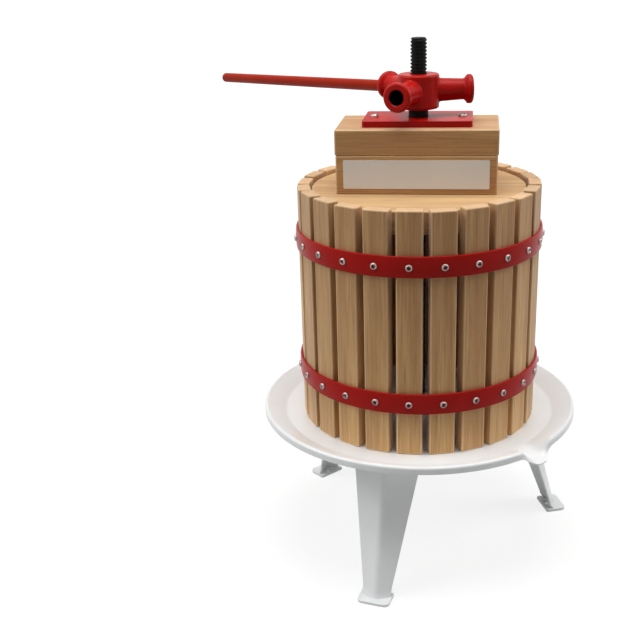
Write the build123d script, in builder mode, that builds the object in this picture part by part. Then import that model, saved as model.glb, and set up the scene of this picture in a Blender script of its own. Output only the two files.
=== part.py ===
from build123d import *
from math import cos, radians, sin
import os

# Fruit press: a slatted basket stands in a pouring tray on three legs, and a capstan nut on the
# fixed spindle drives the pressing stack down into it.
# The origin is on the spindle axis at floor level, +Z is up and the front of the press faces -Y.
# An azimuth is in degrees from the front (-Y), growing towards the right (+X).

os.makedirs("parts", exist_ok=True)

# Tray: pressed steel pan with a turned-down rim and a pouring lip
tray_floor_z = 128.0
tray_sheet = 1.6
tray_under_z = tray_floor_z - tray_sheet
tray_floor_radius = 125.0
tray_rim_radius = 145.3
tray_rim_peak = 9.0
tray_skirt = 7.8
tray_rim_bend = 2.2
tray_hole_radius = 7.6
spout_azimuth = 47.5
spout_base = {"radius": 125.0, "floor": 0.0, "floor_half": 12.0, "edge": 8.0, "edge_half": 21.0}
spout_neck = {"radius": 145.3, "floor": -3.0, "floor_half": 8.5, "edge": 8.0, "edge_half": 18.0}
spout_tip = {"radius": 151.0, "floor": -6.0, "floor_half": 3.5, "edge": -1.0, "edge_half": 6.5}

# Legs: folded angle in sheet steel, splayed, both flanges tapering, a foot tab turned out at the floor
leg_azimuths = {"leg_front": -12.8, "leg_right": 107.2, "leg_left": 227.2}
leg_sheet = 2.0
leg_fold_bend = 6.0
leg_wide_slant = 28.7
leg_narrow_slant = 31.0
leg_top = {"z": tray_under_z, "fold": 109.7, "wide": 39.5, "narrow": 35.3}
leg_knee = {"z": 9.0, "fold": 141.6, "wide": 15.8, "narrow": 15.0}
leg_foot = {"z": 2.5, "fold": 145.0, "wide": 15.0, "narrow": 14.2}
leg_tongue_end = 66.0
leg_tongue_half = 22.0
foot_inner = 130.0
foot_outer = 150.0
foot_left = -15.0
foot_right = 14.0
foot_corner = 5.0
foot_hole_pcd = 272.0
foot_hole_radius = 2.75
leg_bolt_radius = 3.0
leg_bolt_hole_radius = 3.2
leg_bolt_reach = 80.0
leg_bolt_half_gap = 14.0
leg_bolt_flats = 10.0
leg_bolt_head_height = 4.0
leg_bolt_length = 14.0
leg_nut_height = 5.0

# Spindle: trapezoidal screw clamped through the tray by two nuts and washers
spindle_radius = 7.0
spindle_foot_z = 106.0
spindle_top_z = 467.0
spindle_chamfer = 1.0
spindle_fit = 0.1
spindle_nut_flats = 22.0
spindle_nut_height = 10.0
spindle_washer_radius = 15.0
spindle_washer_height = 2.5
backing_washer_radius = 26.0
backing_washer_height = 4.0

# Basket: flat wooden slats screwed inside two steel hoops
basket_height = 216.3
slat_count = 24
slat_first_azimuth = -1.7
slat_drift = 0.8
slat_face_radius = 107.0
slat_width = 21.9
slat_thickness = 11.0
slat_edge = 0.8
hoop_inner_radius = 107.7
hoop_thickness = 2.4
hoop_height = 18.0
hoop_heights = {"lower": 48.2, "upper": 169.4}
hoop_screw_shank = 2.6
hoop_screw_hole = 2.8
hoop_screw_depth = 8.0
hoop_screw_head_radius = 3.2
hoop_screw_head_height = 2.0
hoop_screw_sides = 6

# Pressing stack: split disc, two lower beams, one upper block and the steel pressure plate
stack_turn = -1.1
stack_bore_radius = 9.0
disc_top_z = tray_floor_z + 212.2
disc_radius = 94.5
disc_thickness = 20.0
disc_kerf = 0.6
disc_edge = 1.0
lower_block_length = 137.2
upper_block_length = 138.6
block_depth = 74.6
block_edge = 0.8
lower_block_height = 33.4
lower_block_gap = 20.0
upper_block_height = 21.9
plate_length = 93.4
plate_depth = 53.8
plate_height = 5.3
plate_corner = 2.5
plate_edge = 1.0
plate_screw_half_gap = 38.0
plate_screw_radius = 2.0
plate_screw_length = 16.0
plate_screw_head_radius = 4.2
plate_screw_head_height = 2.2
stack_screw_x = 52.0
stack_screw_y = 23.6
stack_screw_radius = 2.5
stack_screw_head_radius = 5.0
stack_screw_head_height = 2.6
stack_screw_grip = 14.0
screw_hole_clearance = 0.1
screw_sides = 8
screw_head_taper = 30.0
collar_radius = 8.5
running_gap = 0.3

# Capstan nut: round hub with three lever sockets, and the loose lever bar in one of them
hub_radius = 17.8
hub_bottom_z = tray_floor_z + 279.8
hub_top_z = tray_floor_z + 309.0
hub_edge = 1.0
hub_seat_gap = 0.1
socket_azimuths = [98.7, 218.7, 338.7]
socket_z = tray_floor_z + 294.8
socket_root_radius = 10.9
socket_taper = 3.0
socket_reach = 46.5
socket_flange_radius = 12.4
socket_flange_width = 6.0
socket_flange_edge = 1.4
socket_blend = 2.5
socket_bore_radius = 6.6
socket_bore_depth = 30.0
lever_azimuth = socket_azimuths[1]
lever_radius = 5.1
lever_length = 352.0
lever_droop = 4.2
lever_end_gap = 1.0
lever_edge = 0.8

# Heights that follow from the sizes above
lower_block_z = disc_top_z
upper_block_z = lower_block_z + lower_block_height
plate_z = upper_block_z + upper_block_height
plate_top_z = plate_z + plate_height
disc_bottom_z = disc_top_z - disc_thickness


def outward(azimuth):
    return Vector(sin(radians(azimuth)), -cos(radians(azimuth)), 0)


def sideways(azimuth):
    return Vector(cos(radians(azimuth)), sin(radians(azimuth)), 0)


# Horizontal plane whose local x points outwards at the azimuth
def level_plane(azimuth, z):
    return Plane(origin=(0, 0, z), x_dir=outward(azimuth), z_dir=(0, 0, 1))


# Upright plane that faces outwards, with local x along the rim and local y up
def facing_plane(azimuth, radius, z):
    origin = outward(azimuth) * radius + Vector(0, 0, z)
    return Plane(origin=origin, x_dir=sideways(azimuth), z_dir=outward(azimuth))


# One such plane for each leg
def leg_planes(z):
    return [level_plane(azimuth, z) for azimuth in leg_azimuths.values()]


# One upright plane in front of each slat
def slat_planes(radius, z):
    return [facing_plane(azimuth, radius, z) for azimuth in slat_azimuths]


# Horizontal plane of the pressing stack, turned a little on the spindle
def stack_plane(z):
    return Plane(origin=(0, 0, z), x_dir=outward(90 + stack_turn), z_dir=(0, 0, 1))


def finish(piece, name):
    piece.part.label = name
    export_step(piece.part, f"parts/{name}.step")


# Even spacing, opened a little at the front and closed up at the rear
slat_steps = [index * 360 / slat_count for index in range(slat_count)]
slat_azimuths = [slat_first_azimuth + step + slat_drift * sin(radians(step)) for step in slat_steps]
leg_bolt_spots = [(leg_bolt_reach, -leg_bolt_half_gap), (leg_bolt_reach, leg_bolt_half_gap)]
stack_screw_rows = (-stack_screw_y, stack_screw_y)
stack_screw_spots = [(x, y) for x in (-stack_screw_x, stack_screw_x) for y in stack_screw_rows]
plate_screw_spots = [(-plate_screw_half_gap, 0), (plate_screw_half_gap, 0)]


# Outline across the pouring lip at one station, with its sides grown by a wall or carried on upwards
def spout_section(station, wall, rise):
    lift = (station["edge"] - station["floor"]) * rise
    spread = (station["edge_half"] - station["floor_half"]) * rise
    floor_half = station["floor_half"] + wall
    floor_z = tray_floor_z + station["floor"]
    with BuildSketch(facing_plane(spout_azimuth, station["radius"], floor_z)) as section:
        Polygon(
            (-floor_half, -wall),
            (floor_half, -wall),
            (floor_half + spread, lift),
            (-floor_half - spread, lift),
            align=None,
        )
    return section.sketch


# Drip tray
spout_stations = [spout_base, spout_neck, spout_tip]
peak_z = tray_floor_z + tray_rim_peak

with BuildPart() as drip_tray:
    # Lip outside the bowl
    loft([spout_section(station, tray_sheet, 1) for station in spout_stations], ruled=True)
    with BuildSketch(Plane.XZ):
        Polygon(
            (0, tray_under_z),
            (tray_floor_radius, tray_under_z),
            (tray_floor_radius, tray_floor_z),
            (tray_rim_radius, peak_z),
            (0, peak_z),
            align=None,
        )
    revolve(axis=Axis.Z, mode=Mode.SUBTRACT)
    # Pan: floor, sloping wall and rolled rim with its skirt, in one sheet
    with BuildSketch(Plane.XZ) as pan_section:
        with BuildLine():
            Polyline(
                (tray_hole_radius, tray_floor_z),
                (tray_floor_radius, tray_floor_z),
                (tray_rim_radius, peak_z),
                (tray_rim_radius, peak_z - tray_skirt),
            )
            offset(amount=tray_sheet, side=Side.RIGHT, kind=Kind.INTERSECTION)
        make_face()
        fillet(pan_section.vertices().sort_by(Axis.Y)[-1], tray_rim_bend)
    revolve(axis=Axis.Z)
    # Pouring channel through wall and rim
    loft([spout_section(station, 0, 2) for station in spout_stations], ruled=True, mode=Mode.SUBTRACT)
    # Bolt holes for the legs
    with BuildSketch(*leg_planes(tray_floor_z)):
        with Locations(*leg_bolt_spots):
            RegularPolygon(leg_bolt_hole_radius, screw_sides)
    extrude(amount=-2 * tray_sheet, mode=Mode.SUBTRACT)
finish(drip_tray, "drip_tray")


# Legs
def wide_end(station):
    slant = radians(leg_wide_slant)
    return (station["fold"] - station["wide"] * sin(slant), -station["wide"] * cos(slant))


def narrow_end(station):
    slant = radians(leg_narrow_slant)
    return (station["fold"] - station["narrow"] * sin(slant), station["narrow"] * cos(slant))


def leg_section(azimuth, station):
    with BuildSketch(level_plane(azimuth, station["z"])) as section:
        with BuildLine():
            FilletPolyline(wide_end(station), (station["fold"], 0), narrow_end(station), radius=leg_fold_bend)
            offset(amount=leg_sheet, side=Side.LEFT)
        make_face()
    return section.sketch


for name, azimuth in leg_azimuths.items():
    with BuildPart() as leg:
        loft([leg_section(azimuth, station) for station in (leg_foot, leg_knee, leg_top)], ruled=True)
        # Tongue turned inwards under the tray
        with BuildSketch(level_plane(azimuth, tray_under_z)):
            Polygon(
                (leg_tongue_end, -leg_tongue_half),
                wide_end(leg_top),
                (leg_top["fold"] - leg_sheet, 0),
                narrow_end(leg_top),
                (leg_tongue_end, leg_tongue_half),
                align=None,
            )
            with Locations(*leg_bolt_spots):
                RegularPolygon(leg_bolt_hole_radius, screw_sides, mode=Mode.SUBTRACT)
        extrude(amount=-leg_sheet)
        # Foot tab with its screw hole
        with BuildSketch(level_plane(azimuth, 0)):
            with Locations(((foot_inner + foot_outer) / 2, (foot_left + foot_right) / 2)):
                RectangleRounded(foot_outer - foot_inner, foot_right - foot_left, foot_corner)
            with Locations((foot_hole_pcd / 2, 0)):
                Circle(foot_hole_radius, mode=Mode.SUBTRACT)
        extrude(amount=leg_foot["z"])
    finish(leg, name)

with BuildPart() as leg_bolts:
    with BuildSketch(*leg_planes(tray_floor_z)):
        with Locations(*leg_bolt_spots):
            RegularPolygon(leg_bolt_flats / 2, 6, major_radius=False)
    extrude(amount=leg_bolt_head_height)
    with BuildSketch(*leg_planes(tray_floor_z)):
        with Locations(*leg_bolt_spots):
            RegularPolygon(leg_bolt_radius, screw_sides)
    extrude(amount=-leg_bolt_length)
finish(leg_bolts, "leg_bolts")

with BuildPart() as leg_nuts:
    with BuildSketch(*leg_planes(tray_under_z - leg_sheet)):
        with Locations(*leg_bolt_spots):
            RegularPolygon(leg_bolt_flats / 2, 6, major_radius=False)
            RegularPolygon(leg_bolt_hole_radius, screw_sides, mode=Mode.SUBTRACT)
    extrude(amount=-leg_nut_height)
finish(leg_nuts, "leg_nuts")


# Spindle and what clamps it to the tray
with BuildPart() as spindle:
    with BuildSketch(Plane.XY.offset(spindle_foot_z)):
        Circle(spindle_radius)
    extrude(amount=spindle_top_z - spindle_foot_z)
    chamfer(spindle.edges().filter_by(GeomType.CIRCLE), spindle_chamfer)
finish(spindle, "spindle")

spindle_bore_radius = spindle_radius + spindle_fit

with BuildPart() as spindle_washer:
    with BuildSketch(Plane.XY.offset(tray_floor_z)):
        Circle(spindle_washer_radius)
        Circle(spindle_bore_radius, mode=Mode.SUBTRACT)
    extrude(amount=spindle_washer_height)
finish(spindle_washer, "spindle_washer")

with BuildPart() as backing_washer:
    with BuildSketch(Plane.XY.offset(tray_under_z)):
        Circle(backing_washer_radius)
        Circle(spindle_bore_radius, mode=Mode.SUBTRACT)
    extrude(amount=-backing_washer_height)
finish(backing_washer, "backing_washer")

spindle_nut_seats = {
    "spindle_nut_upper": tray_floor_z + spindle_washer_height,
    "spindle_nut_lower": tray_under_z - backing_washer_height - spindle_nut_height,
}
for name, seat_z in spindle_nut_seats.items():
    with BuildPart() as spindle_nut:
        with BuildSketch(Plane.XY.offset(seat_z)):
            RegularPolygon(spindle_nut_flats / 2, 6, major_radius=False)
            Circle(spindle_bore_radius, mode=Mode.SUBTRACT)
        extrude(amount=spindle_nut_height)
    finish(spindle_nut, name)


# Basket slats
for index, azimuth in enumerate(slat_azimuths):
    with BuildPart() as slat:
        with BuildSketch(level_plane(azimuth, tray_floor_z)):
            with Locations((slat_face_radius - slat_thickness / 2, 0)):
                Rectangle(slat_thickness, slat_width)
        extrude(amount=basket_height)
        chamfer(slat.edges(), slat_edge)
        for height in hoop_heights.values():
            with BuildSketch(facing_plane(azimuth, slat_face_radius, tray_floor_z + height)):
                Rectangle(hoop_screw_hole, hoop_screw_hole)
            extrude(amount=-hoop_screw_depth, mode=Mode.SUBTRACT)
    finish(slat, f"slat_{index + 1:02d}")


# Hoops and the screws through them
hoop_outer_radius = hoop_inner_radius + hoop_thickness

for level, height in hoop_heights.items():
    screw_z = tray_floor_z + height
    with BuildPart() as hoop:
        with BuildSketch(Plane.XY.offset(screw_z - hoop_height / 2)):
            Circle(hoop_outer_radius)
            Circle(hoop_inner_radius, mode=Mode.SUBTRACT)
        extrude(amount=hoop_height)
        with BuildSketch(*slat_planes(slat_face_radius, screw_z)):
            Rectangle(hoop_screw_hole, hoop_screw_hole)
        extrude(amount=2 * hoop_thickness, mode=Mode.SUBTRACT)
    finish(hoop, f"hoop_{level}")

    with BuildPart() as hoop_screws:
        with BuildSketch(*slat_planes(hoop_outer_radius, screw_z)):
            RegularPolygon(hoop_screw_head_radius, hoop_screw_sides)
        extrude(amount=hoop_screw_head_height, taper=screw_head_taper)
        with BuildSketch(*slat_planes(hoop_outer_radius, screw_z)):
            Rectangle(hoop_screw_shank, hoop_screw_shank)
        extrude(amount=-hoop_screw_depth)
    finish(hoop_screws, f"hoop_screws_{level}")


# Pressing disc in two halves
def stack_screw_holes(z):
    with BuildSketch(stack_plane(z)) as holes:
        with Locations(*stack_screw_spots):
            RegularPolygon(stack_screw_radius + screw_hole_clearance, screw_sides)
    return holes.sketch


for side, sign in {"front": -1, "rear": 1}.items():
    with BuildPart() as disc_half:
        with BuildSketch(stack_plane(disc_bottom_z)):
            Circle(disc_radius)
            Circle(stack_bore_radius, mode=Mode.SUBTRACT)
            with Locations((0, -sign * disc_radius + sign * disc_kerf / 2)):
                Rectangle(2 * disc_radius, 2 * disc_radius, mode=Mode.SUBTRACT)
        extrude(amount=disc_thickness)
        chamfer(disc_half.edges().group_by(Axis.Z)[-1], disc_edge)
        extrude(stack_screw_holes(disc_bottom_z), amount=disc_thickness, mode=Mode.SUBTRACT)
        with BuildSketch(stack_plane(disc_bottom_z)):
            with Locations(*stack_screw_spots):
                RegularPolygon(stack_screw_head_radius + screw_hole_clearance, screw_sides)
        extrude(amount=stack_screw_head_height, mode=Mode.SUBTRACT)
    finish(disc_half, f"disc_{side}")

    with BuildPart() as lower_block:
        beam_depth = (block_depth - lower_block_gap) / 2
        with BuildSketch(stack_plane(lower_block_z)):
            with Locations((0, sign * (lower_block_gap + beam_depth) / 2)):
                Rectangle(lower_block_length, beam_depth)
        extrude(amount=lower_block_height)
        chamfer(lower_block.edges(), block_edge)
        extrude(stack_screw_holes(lower_block_z), amount=lower_block_height, mode=Mode.SUBTRACT)
    finish(lower_block, f"lower_block_{side}")


# Upper block, pressure plate and their screws
with BuildPart() as upper_block:
    with BuildSketch(stack_plane(upper_block_z)):
        Rectangle(upper_block_length, block_depth)
    extrude(amount=upper_block_height)
    chamfer(upper_block.edges(), block_edge)
    with BuildSketch(stack_plane(upper_block_z)):
        Circle(stack_bore_radius)
    extrude(amount=upper_block_height, mode=Mode.SUBTRACT)
    extrude(stack_screw_holes(upper_block_z), amount=stack_screw_grip, mode=Mode.SUBTRACT)
    with BuildSketch(stack_plane(plate_z)):
        with Locations(*plate_screw_spots):
            RegularPolygon(plate_screw_radius + screw_hole_clearance, screw_sides)
    extrude(amount=plate_height - plate_screw_length, mode=Mode.SUBTRACT)
finish(upper_block, "upper_block")

with BuildPart() as pressure_plate:
    with BuildSketch(stack_plane(plate_z)) as plate_outline:
        Rectangle(plate_length, plate_depth)
        chamfer(plate_outline.vertices(), plate_corner)
        Circle(stack_bore_radius, mode=Mode.SUBTRACT)
        with Locations(*plate_screw_spots):
            RegularPolygon(plate_screw_radius + screw_hole_clearance, screw_sides, mode=Mode.SUBTRACT)
    extrude(amount=plate_height)
    chamfer(pressure_plate.faces().sort_by(Axis.Z)[-1].outer_wire().edges(), plate_edge)
finish(pressure_plate, "pressure_plate")

with BuildPart() as plate_screws:
    with BuildSketch(stack_plane(plate_top_z)):
        with Locations(*plate_screw_spots):
            RegularPolygon(plate_screw_head_radius, screw_sides)
    extrude(amount=plate_screw_head_height, taper=screw_head_taper)
    with BuildSketch(stack_plane(plate_top_z)):
        with Locations(*plate_screw_spots):
            RegularPolygon(plate_screw_radius, screw_sides)
    extrude(amount=-plate_screw_length)
finish(plate_screws, "plate_screws")

with BuildPart() as stack_screws:
    with BuildSketch(stack_plane(disc_bottom_z)):
        with Locations(*stack_screw_spots):
            RegularPolygon(stack_screw_head_radius, screw_sides)
    extrude(amount=stack_screw_head_height)
    with BuildSketch(stack_plane(disc_bottom_z)):
        with Locations(*stack_screw_spots):
            RegularPolygon(stack_screw_radius, screw_sides)
    extrude(amount=disc_thickness + lower_block_height + stack_screw_grip)
finish(stack_screws, "stack_screws")

with BuildPart() as thrust_collar:
    with BuildSketch(Plane.XY.offset(plate_top_z)):
        Circle(collar_radius)
        Circle(spindle_radius + running_gap, mode=Mode.SUBTRACT)
    extrude(amount=hub_bottom_z - hub_seat_gap - plate_top_z)
finish(thrust_collar, "thrust_collar")


# Capstan nut
with BuildPart() as capstan_nut:
    with BuildSketch(Plane.XY.offset(hub_bottom_z)):
        Circle(hub_radius)
    extrude(amount=hub_top_z - hub_bottom_z)
    chamfer(capstan_nut.edges().filter_by(GeomType.CIRCLE), hub_edge)
    for azimuth in socket_azimuths:
        with BuildSketch(facing_plane(azimuth, 0, socket_z)):
            Circle(socket_root_radius)
        extrude(amount=socket_reach, taper=socket_taper)
    hub_joints = capstan_nut.edges().filter_by(GeomType.BSPLINE)
    fillet(hub_joints, socket_blend)
    for azimuth in socket_azimuths:
        with BuildSketch(facing_plane(azimuth, socket_reach - socket_flange_width, socket_z)):
            Circle(socket_flange_radius)
        extrude(amount=socket_flange_width)
    flange_rims = capstan_nut.edges().filter_by(GeomType.CIRCLE).filter_by(
        lambda edge: abs(edge.radius - socket_flange_radius) < socket_flange_edge / 2
    )
    chamfer(flange_rims, socket_flange_edge)
    with BuildSketch(Plane.XY.offset(hub_bottom_z)):
        Circle(spindle_radius + running_gap)
    extrude(amount=hub_top_z - hub_bottom_z, mode=Mode.SUBTRACT)
    for azimuth in socket_azimuths:
        with BuildSketch(facing_plane(azimuth, socket_reach, socket_z)):
            Circle(socket_bore_radius)
        extrude(amount=-socket_bore_depth, mode=Mode.SUBTRACT)
finish(capstan_nut, "capstan_nut")


# Lever bar, lying loose and drooping in its socket
lever_middle = outward(lever_azimuth) * (socket_reach - socket_bore_depth / 2) + Vector(0, 0, socket_z)
lever_direction = outward(lever_azimuth) * cos(radians(lever_droop)) - Vector(0, 0, sin(radians(lever_droop)))
lever_inside = socket_bore_depth / 2 - lever_end_gap

with BuildPart() as lever_bar:
    with BuildSketch(Plane(origin=lever_middle - lever_direction * lever_inside, z_dir=lever_direction)):
        Circle(lever_radius)
    extrude(amount=lever_length)
    chamfer(lever_bar.edges().filter_by(GeomType.CIRCLE), lever_edge)
finish(lever_bar, "lever_bar")
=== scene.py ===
import bmesh
import bpy
import math
import random
from mathutils import Matrix, Vector


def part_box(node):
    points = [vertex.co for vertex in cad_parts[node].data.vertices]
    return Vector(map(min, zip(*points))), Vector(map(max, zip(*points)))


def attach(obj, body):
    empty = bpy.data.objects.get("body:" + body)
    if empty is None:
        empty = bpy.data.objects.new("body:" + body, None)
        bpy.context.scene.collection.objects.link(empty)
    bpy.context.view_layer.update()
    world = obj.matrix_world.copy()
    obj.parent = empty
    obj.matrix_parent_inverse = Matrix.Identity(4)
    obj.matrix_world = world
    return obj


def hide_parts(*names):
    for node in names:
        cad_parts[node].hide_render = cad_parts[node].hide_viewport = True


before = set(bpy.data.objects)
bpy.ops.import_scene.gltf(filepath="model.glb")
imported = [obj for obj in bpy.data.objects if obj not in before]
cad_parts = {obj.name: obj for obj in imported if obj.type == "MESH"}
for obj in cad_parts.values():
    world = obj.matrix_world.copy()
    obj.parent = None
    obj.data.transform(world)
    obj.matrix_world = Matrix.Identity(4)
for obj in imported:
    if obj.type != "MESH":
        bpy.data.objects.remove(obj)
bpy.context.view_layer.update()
mm = 0.001
up = Vector((0, 0, 1))
print("frame loaded,", len(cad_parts), "nodes")


# Small helpers: colour, node, direction, height

def hexColour(code):  # sRGB hex to linear
    channels = [int(code[i:i + 2], 16) / 255 for i in (1, 3, 5)]
    linear = [c / 12.92 if c <= 0.04045 else ((c + 0.055) / 1.055) ** 2.4 for c in channels]
    return linear + [1.0]


def setNode(tree, node, settings, links=None):  # a setting is a socket's value or a property of the node
    for key, value in settings.items():
        if isinstance(key, int) or key in node.inputs:
            node.inputs[key].default_value = value
        else:
            setattr(node, key, value)
    for key, source in (links or {}).items():
        tree.links.new(source, node.inputs[key])
    return node


def addNode(tree, kind, settings, links=None):
    return setNode(tree, tree.nodes.new("ShaderNode" + kind), settings, links)


def newMaterial(name):
    material = bpy.data.materials.new(name)
    material.use_nodes = True
    tree = material.node_tree
    return material, tree, tree.nodes["Principled BSDF"]


def outward(azimuth):  # degrees from the front, growing to the right
    return Vector((math.sin(math.radians(azimuth)), -math.cos(math.radians(azimuth)), 0))


def sideways(azimuth):
    return Vector((math.cos(math.radians(azimuth)), math.sin(math.radians(azimuth)), 0))


def turned(azimuth):  # local x points outwards at the azimuth
    return Matrix.Rotation(math.radians(azimuth - 90), 4, "Z")


def heights(node):  # lowest and highest z of a node of the frame, in mm
    low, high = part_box(node)
    return low.z / mm, high.z / mm


# Mesh helpers, all in mm

sliver = 0.01  # shorter edges are left over from a cut or a join
hexRun = 1.4  # corners of a chamfered hexagon draw in by this for each mm of the chamfer's height


def ring(radius, count):  # points of a circle, or corners of a regular polygon
    angles = [2 * math.pi * i / count for i in range(count)]
    return [(radius * math.cos(a), radius * math.sin(a)) for a in angles]


def roundedPath(corners, closed=True, steps=4):  # corners are (x, y, radius)
    path = []
    count = len(corners)
    for i, (x, y, radius) in enumerate(corners):
        here = Vector((x, y))
        isEnd = not closed and i in (0, count - 1)
        if radius <= 0 or isEnd:
            path.append(here)
            continue
        before = (Vector(corners[i - 1][:2]) - here).normalized()
        after = (Vector(corners[(i + 1) % count][:2]) - here).normalized()
        half = before.angle(after) / 2
        centre = here + (before + after).normalized() * (radius / math.sin(half))
        first = here + before * (radius / math.tan(half)) - centre
        last = here + after * (radius / math.tan(half)) - centre
        turn = math.atan2(first.x * last.y - first.y * last.x, first.dot(last))
        for step in range(steps + 1):
            angle = turn * step / steps
            path.append(centre + Vector((
                first.x * math.cos(angle) - first.y * math.sin(angle),
                first.x * math.sin(angle) + first.y * math.cos(angle),
            )))
    return path


def rectangle(width, depth, corner=0):  # outline round the origin
    x, y = width / 2, depth / 2
    return roundedPath([(-x, -y, corner), (x, -y, corner), (x, y, corner), (-x, y, corner)])


def skin(rows, closeRows=False, caps=False):  # rows are rings of points, a ring of one point is a tip
    bm = bmesh.new()
    rings = [[bm.verts.new(point) for point in row] for row in rows]
    pairs = list(zip(rings, rings[1:]))
    if closeRows:
        pairs.append((rings[-1], rings[0]))
    for lower, upper in pairs:
        count = max(len(lower), len(upper))
        for i in range(count):
            j = (i + 1) % count
            corners = [lower[i % len(lower)], lower[j % len(lower)]]
            corners += [upper[j % len(upper)], upper[i % len(upper)]]
            bm.faces.new(list(dict.fromkeys(corners)))
    if caps:
        bm.faces.new(list(reversed(rings[0])))
        bm.faces.new(rings[-1])
    return bm


def lathe(profile, segments, closed=False):  # profile is (radius, height), turned about z
    rows = []
    for radius, height in profile:
        spots = [(0, 0)] if radius < sliver else ring(radius, segments)
        rows.append([(x, y, height) for x, y in spots])
    return skin(rows, closeRows=closed)


def sheet(outline, holes, bottom, thickness, edge, segments=2):  # holes are (x, y, radius, count)
    bm = bmesh.new()
    loops = [outline]
    for x, y, radius, count in holes:
        loops.append([Vector((x + dx, y + dy)) for dx, dy in ring(radius, count)])
    edges = []
    for loop in loops:
        verts = [bm.verts.new((p.x, p.y, bottom)) for p in loop]
        edges += [bm.edges.new((a, b)) for a, b in zip(verts, verts[1:] + verts[:1])]
    filled = bmesh.ops.triangle_fill(bm, edges=edges, use_beauty=True)
    faces = [g for g in filled["geom"] if isinstance(g, bmesh.types.BMFace)]
    raised = bmesh.ops.extrude_face_region(bm, geom=faces)["geom"]
    lifted = [g for g in raised if isinstance(g, bmesh.types.BMVert)]
    bmesh.ops.translate(bm, verts=lifted, vec=(0, 0, thickness))
    bmesh.ops.recalc_face_normals(bm, faces=bm.faces)
    roundEdges(bm, edge, segments)
    return bm


def roundEdges(bm, radius, segments, angle=40):
    sharp = [e for e in bm.edges if e.is_manifold and e.calc_face_angle(0) > math.radians(angle)]
    bmesh.ops.bevel(
        bm, geom=sharp, offset=radius, offset_type="OFFSET", segments=segments, profile=0.5, affect="EDGES",
        clamp_overlap=True,
    )


def block(size, centre, edge, segments=3):
    bm = bmesh.new()
    bmesh.ops.create_cube(bm, size=1, matrix=Matrix.Translation(centre) @ Matrix.Diagonal((*size, 1)))
    roundEdges(bm, edge, segments)
    return bm


def hexPrism(flats, bottom, height, bevel, boreRadius=0):  # bevel draws in the corners of the top face
    corner, top = flats / math.sqrt(3), bottom + height
    levels = [(corner, bottom), (corner, top - bevel), (corner - hexRun * bevel, top)]
    if boreRadius:
        levels += [(boreRadius, top), (boreRadius, bottom)]
    rows = [[(x, y, z) for x, y in ring(radius, 6)] for radius, z in levels]
    return skin(rows, closeRows=bool(boreRadius), caps=not boreRadius)


def turnedRing(inner, outer, bottom, top, edges, segments):  # four rounded edges
    corners = [(inner, bottom), (outer, bottom), (outer, top), (inner, top)]  # in the order of the edges
    profile = roundedPath([(*corner, edge) for corner, edge in zip(corners, edges)])
    return lathe(profile, segments, closed=True)


def placed(source, matrices, bm=None):  # copies of a small mesh, in a new mesh or added to one
    bm = bm or bmesh.new()
    template = bpy.data.meshes.new("template")
    source.to_mesh(template)
    source.free()
    for matrix in matrices:
        copy = template.copy()
        copy.transform(matrix)
        bm.from_mesh(copy)
        bpy.data.meshes.remove(copy)
    bpy.data.meshes.remove(template)
    return bm


def helperObject(bm):
    mesh = bpy.data.meshes.new("helper")
    bmesh.ops.recalc_face_normals(bm, faces=bm.faces)
    bm.to_mesh(mesh)
    bm.free()
    helper = bpy.data.objects.new("helper", mesh)
    bpy.context.scene.collection.objects.link(helper)
    return helper


def combined(base, tool, operation):  # two loose objects become one closed mesh, joined or cut
    change = base.modifiers.new("combined", "BOOLEAN")
    change.operation = operation
    change.object = tool
    change.solver = "EXACT"
    result = bmesh.new()
    ready = base.evaluated_get(bpy.context.evaluated_depsgraph_get())
    result.from_mesh(bpy.data.meshes.new_from_object(ready))
    for helper in (base, tool):
        bpy.data.objects.remove(helper)
    return result


def makePiece(name, bm, material, body, stoodFor, smooth=35, weighted=True):
    bmesh.ops.recalc_face_normals(bm, faces=bm.faces)
    if bm.calc_volume(signed=True) < 0:  # a thin folded sheet can come out facing inwards
        bmesh.ops.reverse_faces(bm, faces=bm.faces)
    bm.transform(Matrix.Scale(mm, 4))
    mesh = bpy.data.meshes.new(name)
    bm.to_mesh(mesh)
    bm.free()
    mesh.materials.append(material)
    mesh.polygons.foreach_set("use_smooth", [True] * len(mesh.polygons))
    mesh.set_sharp_from_angle(angle=math.radians(smooth))
    piece = bpy.data.objects.new(name, mesh)
    bpy.context.scene.collection.objects.link(piece)
    if weighted:
        piece.modifiers.new("even shading", "WEIGHTED_NORMAL").keep_sharp = True
    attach(piece, body)
    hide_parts(*stoodFor)
    return piece


# Beech, planed and left bare: straight pale grain, fine fibre streaks, patches of short dark ray flecks,
# porous ends painted paler as a highlight on the tops, and a painted highlight along the rounded edges
beech = {
    "ground": "#dfb375",
    "heart": "#ca9c67",
    "band": "#b9874e",
    "fibre": "#a77a48",
    "fleck": "#976c41",
    # painted highlight: end grain is set paler than the face grain so that the tops look lit
    "end": "#e6c08f",
    # painted highlight along the rounded edges
    "edgeHighlight": "#eac896",
    "sheen": "#fff3e4",
    "driftSize": (24.0, 150.0),  # mm across the grain and along it
    "bandSize": (4.5, 240.0),
    "fibreSize": (1.5, 45.0),  # real fibres are finer than the render shows
    "fleckSize": (1.6, 8.0),
    "poreSize": 1.1,  # coarser than real pores, so that they show
    "reliefDepth": 0.15,
    "boardShift": (137, 59, 311),  # mm between the boards in the tree they are cut from
    "boardTones": (0.86, 1.1),
    "topShadeFrom": 150.0,  # upright boards are painted darker and redder as shade between these heights
    "topShadeTo": 330.0,
    "endFacing": 0.8,  # a face turned along the grain by this much is end grain
    "flatFacing": 0.97,  # one that squarely faces no side is on a rounded edge
}


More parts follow.
